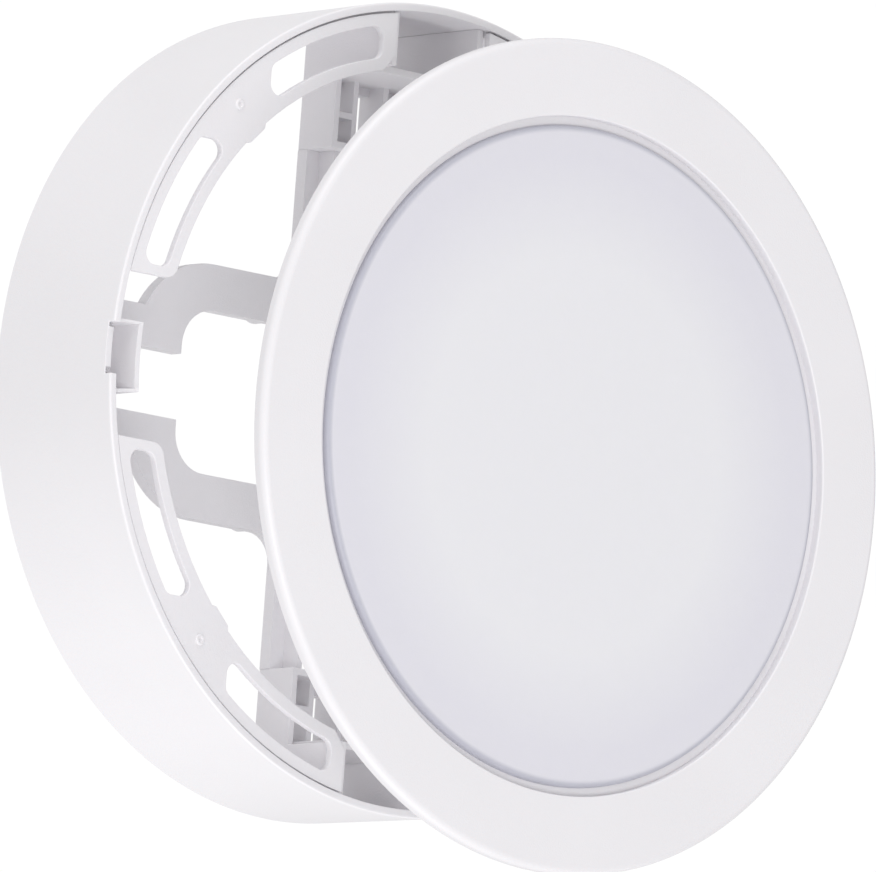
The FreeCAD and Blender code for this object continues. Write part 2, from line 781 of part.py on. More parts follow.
def gland_nut():
    wall = -driver_long / 2 - gland_collar - stack_gap
    z = gland_z()
    end = wall - gland_nut_long
    body = hexagon(gland_across, end, wall, z)
    body = body.makeChamfer(nut_chamfer, [edge for edge in body.Edges if edge.BoundBox.XMax < end + 0.01])
    body = body.cut(along_x(gland_thread_r + stack_gap, end + gland_wall, wall + 1, z))
    return body.cut(along_x(gland_bore_r + nut_mouth, end - 1, wall + 1, z))


def gland_seal():
    wall = -driver_long / 2
    outer = gland_thread_r - gland_wall
    start = wall - gland_collar - gland_nut_long + gland_wall
    body = along_x(outer, start, wall + driver_wall, gland_z())
    return body.cut(along_x(gland_bore_r, start - 1, wall + driver_wall + 1, gland_z()))


# ---------------------------------------------------------------- spring clips, at +Y
def clip_bracket():
    """Folded strip: a foot on the trim's back and two ears that carry the pin."""
    low = trim_back_z
    top = pin_y + ear_r
    inner = leg_y - bracket_foot
    foot = block(-bracket_half, bracket_half, inner, top, low, low + bracket_thick)
    rounding = upright_edges(foot, lambda x, y: y < inner + 0.01)
    foot = foot.makeFillet(bracket_round, rounding)
    ear = Part.makeCylinder(ear_r, bracket_thick, V(bracket_half - bracket_thick, pin_y, pin_z), V(1, 0, 0))
    ear = ear.fuse(block(bracket_half - bracket_thick, bracket_half, pin_y - ear_r, top, low, pin_z))
    body = fuse([foot, ear, mirrored_x(ear)])
    hole = along_pin(pin_r + stack_gap, -bracket_half - 1, bracket_half + 1)
    body = body.cut(hole)
    for x in (-bracket_screw_x, bracket_screw_x):
        hole = cylinder(screw_shank_r + screw_clear, low - 1, low + bracket_thick + 1,
                        x, leg_y - bracket_screw_inset)
        body = body.cut(hole)
    return body


def along_pin(radius, x0, x1):
    return Part.makeCylinder(radius, x1 - x0, V(x0, pin_y, pin_z), V(1, 0, 0))


def clip_pin():
    """Rivet pin, headed at both ends."""
    shaft = along_pin(pin_r, -bracket_half - stack_gap, bracket_half + stack_gap)
    heads = [along_pin(pin_head_r, bracket_half + stack_gap, bracket_half + stack_gap + pin_head),
             along_pin(pin_head_r, -bracket_half - stack_gap - pin_head, -bracket_half - stack_gap)]
    return fuse([shaft] + heads)


def clip_leg():
    """Sprung wire: two eyes on the pin, two legs and a bridge at the tip."""
    tip = pin_z + leg_long
    eye = Part.makeTorus(eye_r, wire_r, V(leg_half, pin_y, pin_z), V(1, 0, 0))
    corner = (leg_half - leg_bend, tip - leg_bend)
    bend = on_circle(leg_bend, 45, corner)
    path = [Part.LineSegment(V(leg_half, leg_y, pin_z), V(leg_half, leg_y, corner[1])).toShape(),
            Part.Arc(V(leg_half, leg_y, corner[1]), V(bend[0], leg_y, bend[1]),
                     V(corner[0], leg_y, tip)).toShape(),
            Part.LineSegment(V(corner[0], leg_y, tip), V(0, leg_y, tip)).toShape()]
    start = Part.Wire(Part.makeCircle(wire_r, V(leg_half, leg_y, pin_z), V(0, 0, 1)))
    leg = Part.Wire(path).makePipeShell([start], True, False)
    half = fuse([eye, leg])
    return fuse([half, mirrored_x(half)])


def clip_grip():
    """Plastic tube on the bridge of a clip."""
    half = leg_half - leg_bend - grip_fit
    tip = pin_z + leg_long
    outer = Part.makeCylinder(grip_r, 2 * half, V(-half, leg_y, tip), V(1, 0, 0))
    return outer.cut(Part.makeCylinder(wire_r, 2 * half + 2, V(-half - 1, leg_y, tip), V(1, 0, 0)))


def coil_point(turn):
    """Point of the torsion spring's centre line, after so many turns from its lowest point."""
    radius = pin_r + 3 * pin_fit + coil_wire_r
    angle = -math.pi / 2 - 2 * math.pi * turn
    x = (turn - coil_turns / 2) * coil_pitch
    return V(x, pin_y + radius * math.cos(angle), pin_z + radius * math.sin(angle))


def clip_coil():
    """Torsion spring on the pin, with a tail over the foot and a tail along the leg."""
    start, end = coil_point(0), coil_point(coil_turns)
    arcs = []
    for i in range(int(coil_turns * 4)):
        a, b, c = (coil_point((i + part) / 4) for part in (0, 0.5, 1))
        arcs.append(Part.Arc(a, b, c).toShape())
    ahead = arcs[0].tangentAt(arcs[0].FirstParameter)
    profile = Part.Wire(Part.makeCircle(coil_wire_r, start, ahead))
    coil = Part.Wire(arcs).makePipeShell([profile], True, False)
    elbows = [Part.makeSphere(coil_elbow_r, point) for point in (start, end)]
    tails = [Part.makeCylinder(coil_wire_r, coil_foot_tail, start, V(0, 1, 0)),
             Part.makeCylinder(coil_wire_r, coil_leg_tail, end, V(0, 0, 1))]
    return fuse([coil] + elbows + tails)


def bracket_screws():
    length = trim_thick + bracket_thick - skin - screw_tip_gap
    return group([screw(x, y, trim_back_z + bracket_thick, length) for x, y in bracket_screws_at()])


# ---------------------------------------------------------------- the whole
def ring_nodes():
    return {
        "outer_sleeve": outer_sleeve(),
        "front_flange": front_flange(),
        "rear_frame": rear_frame(),
        "spring_receiver_top": spring_receiver(),
        "spring_receiver_bottom": mirrored_y(spring_receiver()),
    }


def panel_nodes():
    nodes = {
        "trim_frame": trim_frame(),
        "diffuser": diffuser(),
        "light_guide": light_guide(),
        "reflector_sheet": reflector_sheet(),
        "foam_pad": foam_pad(),
        "led_board": led_board(),
        "led_chips": led_chips(),
        "back_plate": back_plate(),
        "back_screws": back_screws(),
        "seal_ring": seal_ring(),
        "driver_case": driver_case(),
        "driver_lid": driver_lid(),
        "driver_screws": driver_screws(),
        "driver_board": driver_board(),
        "transformer": transformer(),
        "capacitors": capacitors(),
        "choke": choke(),
        "terminal_block": terminal_block(),
        "terminal_screws": terminal_screws(),
        "gland_body": gland_body(),
        "gland_nut": gland_nut(),
        "gland_seal": gland_seal(),
        "bracket_screws": bracket_screws(),
    }
    makers = {"clip_bracket": clip_bracket, "clip_pin": clip_pin, "clip_leg": clip_leg,
              "clip_grip": clip_grip, "clip_coil": clip_coil}
    for name, make in makers.items():
        nodes[name + "_top"] = make()
        nodes[name + "_bottom"] = turned(make(), 180)
    return nodes


def main():
    os.makedirs("parts", exist_ok=True)
    drawn_out = V(0, -side_shift, -pull_out)
    nodes = ring_nodes()
    for name, shape in panel_nodes().items():
        shape.translate(drawn_out)
        nodes[name] = shape
    for name, shape in nodes.items():
        shape.exportStep("parts/%s.step" % name)
        box = shape.BoundBox
        print("%-24s %2d solids, valid %s, %.1f mm3, z %.2f to %.2f"
              % (name, len(shape.Solids), shape.isValid(), shape.Volume, box.ZMin, box.ZMax))


main()
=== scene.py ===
import bpy
import bmesh
import json
import math
from mathutils import Matrix, Vector


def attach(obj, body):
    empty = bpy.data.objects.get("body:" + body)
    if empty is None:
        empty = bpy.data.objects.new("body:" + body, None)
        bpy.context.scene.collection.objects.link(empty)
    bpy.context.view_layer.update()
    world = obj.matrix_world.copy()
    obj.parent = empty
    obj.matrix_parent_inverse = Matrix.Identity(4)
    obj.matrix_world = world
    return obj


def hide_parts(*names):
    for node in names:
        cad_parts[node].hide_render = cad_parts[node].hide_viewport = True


# Slim round downlight drawn out of its mounting ring, seen from below and from the notch side.
# z = 0 is the ceiling and the light shines towards -Z. The scene is in metres, and the pieces'
# dictionaries are in mm. A round is a width in mm and a number of segments.

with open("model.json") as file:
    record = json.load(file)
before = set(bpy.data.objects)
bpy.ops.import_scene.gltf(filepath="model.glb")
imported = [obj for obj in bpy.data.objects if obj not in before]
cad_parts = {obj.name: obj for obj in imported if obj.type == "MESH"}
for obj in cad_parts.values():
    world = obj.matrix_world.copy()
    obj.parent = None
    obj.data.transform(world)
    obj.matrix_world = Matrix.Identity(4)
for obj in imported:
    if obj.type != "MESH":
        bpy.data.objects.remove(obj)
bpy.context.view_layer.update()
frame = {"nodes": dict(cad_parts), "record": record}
nodes = frame["nodes"]
scene = bpy.context.scene
print("frame loaded:", len(nodes), "nodes")

mm = 0.001
drawnOutMm = (0, -12.2, -45.7)  # from the panel's home in the ring to its place in the photo
drawnOut = Vector(drawnOutMm) * mm

# Materials


def setValue(shader, name, value):
    shader.inputs[name].default_value = value


def newMaterial(name):
    material = bpy.data.materials.new(name)
    material.use_nodes = True
    tree = material.node_tree
    return material, tree, tree.nodes["Principled BSDF"]


def objectPoint(tree, scale=(1.0, 1.0, 1.0), shift=(0.0, 0.0, 0.0)):
    place = tree.nodes.new("ShaderNodeTexCoord")
    mapping = tree.nodes.new("ShaderNodeMapping")
    mapping.inputs["Location"].default_value = shift
    mapping.inputs["Scale"].default_value = scale
    tree.links.new(place.outputs["Object"], mapping.inputs["Vector"])
    return mapping.outputs["Vector"]


def noise(tree, point, scale, detail=2.0, roughness=0.5):
    texture = tree.nodes.new("ShaderNodeTexNoise")
    texture.inputs["Scale"].default_value = scale
    texture.inputs["Detail"].default_value = detail
    texture.inputs["Roughness"].default_value = roughness
    tree.links.new(point, texture.inputs["Vector"])
    return texture.outputs["Fac"]


def ramp(tree, value, stops):
    curve = tree.nodes.new("ShaderNodeValToRGB")
    while len(curve.color_ramp.elements) < len(stops):
        curve.color_ramp.elements.new(0.5)
    for element, (place, colour) in zip(curve.color_ramp.elements, stops):
        element.position = place
        element.color = (*colour, 1.0)
    tree.links.new(value, curve.inputs["Fac"])
    return curve.outputs["Color"]


def spread(tree, value, low, high):
    span = tree.nodes.new("ShaderNodeMapRange")
    span.inputs["To Min"].default_value = low
    span.inputs["To Max"].default_value = high
    tree.links.new(value, span.inputs["Value"])
    return span.outputs["Result"]


def bump(tree, shader, height, distance):
    relief = tree.nodes.new("ShaderNodeBump")
    relief.inputs["Distance"].default_value = distance
    relief.inputs["Strength"].default_value = 1.0
    tree.links.new(height, relief.inputs["Height"])
    tree.links.new(relief.outputs["Normal"], shader.inputs["Normal"])


def shade(colour, factor):
    return tuple(min(1.0, c * factor) for c in colour)


def twoTone(tree, shader, value, colour, margin, low, high):
    stops = [(margin, shade(colour, low)), (1 - margin, shade(colour, high))]
    tree.links.new(ramp(tree, value, stops), shader.inputs["Base Color"])


def scatter(shader, weight, reach):
    setValue(shader, "Subsurface Weight", weight)
    setValue(shader, "Subsurface Radius", reach)
    setValue(shader, "Subsurface Scale", 1.0)


plasticIor = 1.49
plastic = {"cloudScale": 28.0, "cloudDetail": 3.0, "cloudMargin": 0.3, "flowScale": 90.0,
           "flowDetail": 4.0, "flowRoughness": 0.6, "roughnessSpan": 0.06, "specular": 0.42,
           "scatter": 0.06, "scatterReach": (0.0012, 0.001, 0.0009)}


def mouldedPlastic(name, colour, roughness=0.42, grain=0.00004, grainScale=2600.0, mottle=0.012):
    p = plastic
    material, tree, shader = newMaterial(name)
    point = objectPoint(tree)
    cloud = noise(tree, point, p["cloudScale"], p["cloudDetail"])
    twoTone(tree, shader, cloud, colour, p["cloudMargin"], 1 - mottle, 1 + mottle)
    flow = noise(tree, point, p["flowScale"], p["flowDetail"], p["flowRoughness"])
    low, high = roughness - p["roughnessSpan"], roughness + p["roughnessSpan"]
    tree.links.new(spread(tree, flow, low, high), shader.inputs["Roughness"])
    setValue(shader, "IOR", plasticIor)
    setValue(shader, "Specular IOR Level", p["specular"])
    scatter(shader, p["scatter"], p["scatterReach"])
    bump(tree, shader, noise(tree, point, grainScale), grain)
    return material


metal = {"squeeze": 0.03, "lines": 1800.0, "detail": 3.0, "streakRoughness": 0.6, "margin": 0.25,
         "dark": 0.9, "light": 1.06, "smoother": 0.07, "rougher": 0.08, "relief": 0.000008}


def brushedMetal(name, colour, roughness=0.3, along="X"):
    m = metal
    material, tree, shader = newMaterial(name)
    point = objectPoint(tree, [m["squeeze"] if axis == along else 1.0 for axis in "XYZ"])
    streak = noise(tree, point, m["lines"], m["detail"], m["streakRoughness"])
    twoTone(tree, shader, streak, colour, m["margin"], m["dark"], m["light"])
    low, high = roughness - m["smoother"], roughness + m["rougher"]
    tree.links.new(spread(tree, streak, low, high), shader.inputs["Roughness"])
    setValue(shader, "Metallic", 1.0)
    bump(tree, shader, streak, m["relief"])
    return material


rubber = {"grainScale": 3200.0, "detail": 3.0, "margin": 0.2, "dark": 0.9, "light": 1.08,
          "roughness": 0.72, "relief": 0.00004}


def softRubber(name, colour):
    r = rubber
    material, tree, shader = newMaterial(name)
    grain = noise(tree, objectPoint(tree), r["grainScale"], r["detail"])
    twoTone(tree, shader, grain, colour, r["margin"], r["dark"], r["light"])
    setValue(shader, "Roughness", r["roughness"])
    bump(tree, shader, grain, r["relief"])
    return material


# The opal face turns darker and bluer in a band towards its rim. Its outermost rim, where it rounds
# down into the groove, is painted shade of that groove. Stops are shares of the face's radius.
opal = {"radius": 68.3, "middle": (0.79, 0.785, 0.82), "edge": (0.725, 0.715, 0.775),
        "rim": (0.5, 0.5, 0.57), "middleEnd": 0.6, "edgeStart": 0.9, "edgeEnd": 0.978,
        "rimStart": 0.99, "grainScale": 1800.0, "grain": 0.00002, "flowScale": 60.0,
        "flowDetail": 3.0, "smooth": 0.34, "rough": 0.42, "scatter": 0.25,
        "scatterReach": (0.004, 0.004, 0.0045)}


def opalDisc(name):
    o = opal
    material, tree, shader = newMaterial(name)
    share = 1.0 / (o["radius"] * mm)
    flat = objectPoint(tree, (share, share, 0.0), (0.0, -drawnOutMm[1] * mm * share, 0.0))
    fromAxis = tree.nodes.new("ShaderNodeVectorMath")
    fromAxis.operation = "LENGTH"
    tree.links.new(flat, fromAxis.inputs[0])
    # The last stop is painted shade: the groove's shadow laid on the face's rounded rim.
    stops = [(0.0, o["middle"]), (o["middleEnd"], o["middle"]), (o["edgeStart"], o["edge"]),
             (o["edgeEnd"], o["edge"]), (o["rimStart"], o["rim"])]
    tree.links.new(ramp(tree, fromAxis.outputs["Value"], stops), shader.inputs["Base Color"])
    point = objectPoint(tree)
    flow = noise(tree, point, o["flowScale"], o["flowDetail"])
    tree.links.new(spread(tree, flow, o["smooth"], o["rough"]), shader.inputs["Roughness"])
    setValue(shader, "IOR", plasticIor)
    scatter(shader, o["scatter"], o["scatterReach"])
    bump(tree, shader, noise(tree, point, o["grainScale"]), o["grain"])
    return material


finishes = {
    "ring_white": mouldedPlastic("ringWhite", (0.86, 0.845, 0.87)),
    "trim_white": mouldedPlastic("trimWhite", (0.815, 0.80, 0.825), roughness=0.38),
    "opal": opalDisc("opalFace"),
    "clear_acrylic": mouldedPlastic("lightGuideAcrylic", (0.86, 0.89, 0.90), roughness=0.12,
                                    grain=0.00001),
    "film_white": mouldedPlastic("reflectorFilm", (0.9, 0.9, 0.9), roughness=0.5),
    "foam_white": softRubber("closedFoam", (0.74, 0.74, 0.74)),
    "strip_white": mouldedPlastic("stripMask", (0.85, 0.85, 0.83), roughness=0.3),
    "led_yellow": mouldedPlastic("ledPhosphor", (0.85, 0.72, 0.22), roughness=0.25),
    "back_metal": mouldedPlastic("backPowderCoat", (0.72, 0.72, 0.74), roughness=0.48,
                                 grain=0.00009, grainScale=1500.0),
    "screw_steel": brushedMetal("screwZinc", (0.62, 0.62, 0.6)),
    "seal_rubber": softRubber("sealSilicone", (0.6, 0.6, 0.61)),
    "driver_plastic": mouldedPlastic("driverWhite", (0.76, 0.76, 0.77), roughness=0.5),
    "board_green": mouldedPlastic("boardMask", (0.03, 0.16, 0.06), roughness=0.3),
    "ferrite": mouldedPlastic("ferriteGrey", (0.03, 0.03, 0.032), roughness=0.6),
    "can_black": mouldedPlastic("canFilm", (0.02, 0.02, 0.025), roughness=0.25),
    "terminal_grey": mouldedPlastic("terminalGrey", (0.27, 0.29, 0.3), roughness=0.45),
    "gland_white": mouldedPlastic("glandWhite", (0.72, 0.72, 0.72), roughness=0.4),
    "gland_rubber": softRubber("glandRubber", (0.03, 0.03, 0.03)),
    "bracket_steel": brushedMetal("bracketZinc", (0.66, 0.66, 0.67), 0.32),
    "spring_steel": brushedMetal("springWire", (0.55, 0.56, 0.57), 0.26, along="Z"),
    "grip_white": mouldedPlastic("gripTube", (0.74, 0.74, 0.73), roughness=0.5),
}
slotOf = {part["node"]: part["material_slot"] for part in frame["record"]["subparts"]}
for name, node in nodes.items():
    node.data.materials.clear()
    node.data.materials.append(finishes[slotOf[name]])
print("finishes:", len(finishes))

# Shaping helpers

weldGap = 1e-6
rowGap = 1e-5
sharpTurn = math.radians(50)
smoothTurn = math.radians(40)


def turnOf(point):
    return math.atan2(point.y, point.x)


def spinRing(outline, steps, start=0.0, angle=math.tau):
    bm = bmesh.new()
    turned = Matrix.Rotation(start, 3, "Z")
    corners = [bm.verts.new(turned @ Vector((r * mm, 0, z * mm))) for r, z in outline]
    sides = [bm.edges.new(pair) for pair in zip(corners, corners[1:] + corners[:1])]
    whole = angle == math.tau
    ends = [] if whole else bmesh.ops.contextual_create(bm, geom=sides)["faces"]
    bmesh.ops.spin(bm, geom=corners + sides + ends, axis=(0, 0, 1), angle=angle, steps=steps,
                   use_merge=whole)
    bmesh.ops.remove_doubles(bm, verts=bm.verts, dist=weldGap)
    bmesh.ops.recalc_face_normals(bm, faces=bm.faces)
    return bm


def loopAt(bm, r, z):
    def near(vert):
        return abs(vert.co.xy.length - r * mm) < rowGap and abs(vert.co.z - z * mm) < rowGap
    return [edge for edge in bm.edges if all(near(vert) for vert in edge.verts)]


def roundOff(bm, edges, width, segments):
    return bmesh.ops.bevel(bm, geom=edges, offset=width * mm, segments=segments, profile=0.5,
                           affect="EDGES", material=-1, clamp_overlap=True)["verts"]


def addPiece(name, bm, finish, body, stands=()):
    mesh = bpy.data.meshes.new(name)
    bm.to_mesh(mesh)
    bm.free()
    mesh.shade_smooth()
    mesh.set_sharp_from_angle(angle=smoothTurn)
    mesh.materials.append(finishes[finish])
    piece = bpy.data.objects.new(name, mesh)
    scene.collection.objects.link(piece)
    normals = piece.modifiers.new("flatFaces", "WEIGHTED_NORMAL")
    normals.keep_sharp = True
    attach(piece, body)
    if stands:
        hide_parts(*stands)
    return piece


copying = {"flatTurn": math.radians(0.5), "cornerTurn": math.radians(30), "segments": 2}


def edgedCopy(name, node, body, width):
    bm = bmesh.new()
    bm.from_mesh(nodes[node].data)
    bmesh.ops.remove_doubles(bm, verts=bm.verts, dist=weldGap)
    bmesh.ops.dissolve_limit(bm, angle_limit=copying["flatTurn"], verts=bm.verts, edges=bm.edges)
    corners = [edge for edge in bm.edges if edge.calc_face_angle(0) > copying["cornerTurn"]]
    roundOff(bm, corners, width, copying["segments"])
    return addPiece(name, bm, slotOf[node], body, (node,))


# Trim and diffuser

trim = {"outerR": 86.2, "openR": 70.1, "canR": 68.9, "opticsR": 67.8, "faceZ": -40.05,
        "backZ": -37.05, "wallEndZ": -31.75, "grooveZ": -38.05, "faceRound": (1.6, 8),
        "openRound": (0.4, 4), "backRound": (0.3, 3), "wallRound": (0.2, 2), "steps": 360}
lug = {"reachR": 75.3, "half": 11.5, "cornerRound": (6.3, 10), "sunk": 0.5, "spare": 0.01}


def addLugPad(bm, side):
    inner, outer = trim["canR"] - lug["sunk"], lug["reachR"]
    tall = trim["wallEndZ"] - trim["backZ"] + lug["sunk"]
    size = (outer - inner, 2 * lug["half"], tall)
    middle = ((inner + outer) / 2, 0, trim["wallEndZ"] - tall / 2)
    new = bmesh.ops.create_cube(bm, size=mm)["verts"]
    bmesh.ops.scale(bm, verts=new, vec=size)
    bmesh.ops.translate(bm, verts=new, vec=Vector(middle) * mm)
    farX = (outer - lug["spare"]) * mm
    upright = [edge for edge in bm.edges if all(v in new and v.co.x > farX for v in edge.verts)
               and abs(edge.verts[0].co.z - edge.verts[1].co.z) > mm]
    rounded = roundOff(bm, upright, *lug["cornerRound"])
    if side < 0:
        pad = [v for v in set(new) | set(rounded) if v.is_valid]
        halfTurn = Matrix.Rotation(math.pi, 3, "Z")
        bmesh.ops.rotate(bm, verts=pad, cent=(0, 0, 0), matrix=halfTurn)


def buildTrim():
    t = trim
    outline = [(t["openR"], t["faceZ"]), (t["outerR"], t["faceZ"]), (t["outerR"], t["backZ"]),
               (t["canR"], t["backZ"]), (t["canR"], t["wallEndZ"]), (t["opticsR"], t["wallEndZ"]),
               (t["opticsR"], t["grooveZ"]), (t["openR"], t["grooveZ"])]
    bm = spinRing(outline, t["steps"])
    roundOff(bm, loopAt(bm, t["outerR"], t["faceZ"]), *t["faceRound"])
    roundOff(bm, loopAt(bm, t["openR"], t["faceZ"]), *t["openRound"])
    roundOff(bm, loopAt(bm, t["outerR"], t["backZ"]), *t["backRound"])
    roundOff(bm, loopAt(bm, t["canR"], t["wallEndZ"]), *t["wallRound"])
    for side in (1, -1):
        addLugPad(bm, side)
    bmesh.ops.translate(bm, verts=bm.verts, vec=drawnOut)
    return addPiece("trimRing", bm, "trim_white", "panel", ("trim_frame",))


# The flat face is divided once, at middleShare of its radius.
disc = {"faceR": 68.3, "plugR": 67.7, "faceZ": -39.45, "seatZ": -38.05, "rearZ": -36.6,
        "faceRound": (1.1, 6), "middleShare": 0.6}


def buildDiffuser():
    d = disc
    outline = [(0, d["faceZ"]), (d["faceR"] * d["middleShare"], d["faceZ"]),
               (d["faceR"], d["faceZ"]), (d["faceR"], d["seatZ"]), (d["plugR"], d["seatZ"]),
               (d["plugR"], d["rearZ"]), (0, d["rearZ"])]
    bm = spinRing(outline, trim["steps"])
    roundOff(bm, loopAt(bm, d["faceR"], d["faceZ"]), *d["faceRound"])
    bmesh.ops.translate(bm, verts=bm.verts, vec=drawnOut)
    return addPiece("opalCap", bm, "opal", "panel", ("diffuser",))


buildTrim()
buildDiffuser()
print("trim and diffuser built")

# Ring pieces

sleeve = {"rimR": 85.0, "rearR": 84.6, "wall": 1.75, "frontZ": -36.0, "steps": 320,
          "rimRound": (0.5, 5), "boreRound": (0.2, 2)}
boreR = sleeve["rimR"] - sleeve["wall"]
notch = {"high": 6.0, "low": -4.8, "floorZ": -34.2, "round": (0.2, 2), "thinRise": 3.0,
         "sideX": 80.0, "turnSpare": 0.001, "floorSpare": 0.01, "boreReach": 0.2,
         "floorReach": 0.4}


def buildSleeve():
    s = sleeve
    slope = (s["rimR"] - s["rearR"]) / s["frontZ"]
    notchR = s["rearR"] + slope * notch["floorZ"]
    outline = [(s["rearR"], 0), (notchR, notch["floorZ"]), (s["rimR"], s["frontZ"]),
               (boreR, s["frontZ"]), (boreR, notch["floorZ"]), (boreR, 0)]
    bm = spinRing(outline, s["steps"])
    step = math.tau / s["steps"]
    low, high = (math.asin(notch[key] / s["rimR"]) for key in ("low", "high"))
    for end in (low, high):  # the nearest row of vertices goes to the notch's side
        row = round(end / step) * step
        column = [v for v in bm.verts if abs(turnOf(v.co) - row) < step / 4]
        bmesh.ops.rotate(bm, verts=column, cent=(0, 0, 0),
                         matrix=Matrix.Rotation(end - row, 3, "Z"))
    roundOff(bm, loopAt(bm, s["rimR"], s["frontZ"]), *s["rimRound"])
    roundOff(bm, loopAt(bm, boreR, s["frontZ"]), *s["boreRound"])
    floorZ = notch["floorZ"] * mm

    def inNotch(face):
        middle = face.calc_center_median()
        return low < turnOf(middle) < high and middle.z < floorZ and middle.x > 0

    def inSpan(vert):
        return low - notch["turnSpare"] < turnOf(vert.co) < high + notch["turnSpare"]

    def byNotch(vert):
        return (vert.co.x > notch["sideX"] * mm and inSpan(vert)
                and vert.co.z < floorZ + notch["floorSpare"] * mm)

    def behindNotch(vert):
        return (vert.co.x > 0 and inSpan(vert)
                and abs(vert.co.xy.length - boreR * mm) < notch["boreReach"] * mm
                and abs(vert.co.z - floorZ) < notch["floorReach"] * mm)

    bmesh.ops.delete(bm, geom=[face for face in bm.faces if inNotch(face)], context="FACES")
    opened = [edge for edge in bm.edges if edge.is_boundary]
    floor = [edge for edge in opened if all(abs(v.co.z - floorZ) < weldGap for v in edge.verts)]
    bmesh.ops.bridge_loops(bm, edges=floor)
    bmesh.ops.holes_fill(bm, edges=[edge for edge in bm.edges if edge.is_boundary], sides=0)
    bmesh.ops.recalc_face_normals(bm, faces=bm.faces)
    corners = [edge for edge in bm.edges if edge.calc_face_angle(0) >= sharpTurn
               and all(byNotch(v) for v in edge.verts)]
    roundOff(bm, corners, *notch["round"])
    for vert in bm.verts:  # the wall is thinned from inside behind the notch
        if behindNotch(vert):
            vert.co.z += notch["thinRise"] * mm
    return addPiece("sleeveShell", bm, "ring_white", "ring", ("outer_sleeve",))


ledge = {"frontZ": -34.0, "innerR": 81.85, "thick": 1.6, "sunk": 0.3, "mouthHalf": 13.0,
         "notchSideHalf": 17.1, "fewestSteps": 12}


def buildLedge():
    g = ledge
    top = g["frontZ"] + g["thick"]
    slopeTop = top + boreR - g["innerR"]
    outline = [(boreR + g["sunk"], g["frontZ"]), (g["innerR"], g["frontZ"]), (g["innerR"], top),
               (boreR, slopeTop), (boreR + g["sunk"], slopeTop)]
    notchEnd = math.asin(g["notchSideHalf"] / boreR)
    mouthEnd = math.acos(g["mouthHalf"] / boreR)
    spans = [(notchEnd, mouthEnd), (-mouthEnd, -notchEnd),
             (math.pi - mouthEnd, math.pi + mouthEnd)]
    whole = bmesh.new()
    for begin, end in spans:
        steps = max(g["fewestSteps"], int((end - begin) / math.tau * sleeve["steps"]))
        part = spinRing(outline, steps, begin, end - begin)
        mesh = bpy.data.meshes.new("ledgePart")
        part.to_mesh(mesh)
        part.free()
        whole.from_mesh(mesh)
        bpy.data.meshes.remove(mesh)
    return addPiece("flangeLedge", whole, "ring_white", "ring")


tray = {"innerR": 78.0, "wall": 1.2, "reachR": 84.4, "frontZ": -35.6, "backZ": -26.6,
        "low": -7.7, "high": 7.0, "lipZ": -30.9, "steps": 14, "edgeRound": (0.15, 2),
        "endThin": 0.5, "endReach": 1.3, "sleeveR": 82.8, "lipSpare": 0.2, "facingFront": -0.9}


def buildTray():
    t = tray
    inside = t["innerR"] - t["wall"]
    outline = [(inside, t["frontZ"]), (t["reachR"], t["frontZ"]), (t["reachR"], t["backZ"]),
               (inside, t["backZ"])]
    low, high = (math.asin(t[key] / t["innerR"]) for key in ("low", "high"))
    bm = spinRing(outline, t["steps"], low, high - low)
    front = [face for face in bm.faces if face.normal.z < t["facingFront"]]
    bmesh.ops.inset_region(bm, faces=front, thickness=t["wall"] * mm, use_even_offset=True)
    front = [face for face in front if face.is_valid]
    middle = (low + high) / 2
    endTurn = (high - low) / 2 - t["endReach"] * t["wall"] / t["innerR"]
    for vert in {v for face in front for v in face.verts}:  # end walls thinner than the inner one
        turn = turnOf(vert.co)
        if abs(turn - middle) > endTurn:
            shift = math.copysign(t["endThin"] / t["innerR"], turn - middle)
            vert.co = Matrix.Rotation(shift, 3, "Z") @ vert.co
    raised = bmesh.ops.extrude_face_region(bm, geom=front)["geom"]
    floor = [item for item in raised if isinstance(item, bmesh.types.BMVert)]
    bmesh.ops.delete(bm, geom=front, context="FACES")
    deep = (t["backZ"] - t["wall"] - t["frontZ"]) * mm
    bmesh.ops.translate(bm, verts=floor, vec=(0, 0, deep))
    sleeveR = t["sleeveR"] * mm
    frontEnd = (t["frontZ"] + t["lipSpare"]) * mm
    for vert in bm.verts:  # the outer wall ends inside the sleeve's wall
        if vert.co.xy.length > sleeveR and vert.co.z < frontEnd:
            vert.co.z = t["lipZ"] * mm
    bmesh.ops.recalc_face_normals(bm, faces=bm.faces)
    corners = [edge for edge in bm.edges if edge.calc_face_angle(0) > sharpTurn
               and all(v.co.xy.length < sleeveR for v in edge.verts)]
    roundOff(bm, corners, *t["edgeRound"])
    return addPiece("notchTray", bm, "ring_white", "ring")


# Copies of solids with their corners rounded: new name, node and width of the round
ringCopies = (("flangeSectors", "front_flange", 0.18), ("mountingFrame", "rear_frame", 0.25),
              ("springHousing_top", "spring_receiver_top", 0.2),
              ("springHousing_bottom", "spring_receiver_bottom", 0.2))
panelCopies = (("backCover", "back_plate", 0.25), ("driverBox", "driver_case", 0.4),
               ("driverCover", "driver_lid", 0.25), ("glandNut", "gland_nut", 0.3),
               ("glandBody", "gland_body", 0.2),
               ("clipBracket_top", "clip_bracket_top", 0.15), ("clipPin_top", "clip_pin_top", 0.15),
               ("clipBracket_bottom", "clip_bracket_bottom", 0.15),
               ("clipPin_bottom", "clip_pin_bottom", 0.15))

buildSleeve()
buildLedge()
buildTray()
for name, node, width in ringCopies:
    edgedCopy(name, node, "ring", width)
print("ring built")
for name, node, width in panelCopies:
    edgedCopy(name, node, "panel", width)
print("back of the panel built")

# Camera, light and floor

lens = {"tiltDeg": 42.54, "rollDeg": -4.55, "turnDeg": 11.77, "distance": 3.5, "pxPerMm": 4.812,
        "aimZ": -0.0356, "rightMm": 4.5, "downMm": 5.3, "widthPx": 876, "sensorMm": 36.0,
        "clipEnd": 60.0}


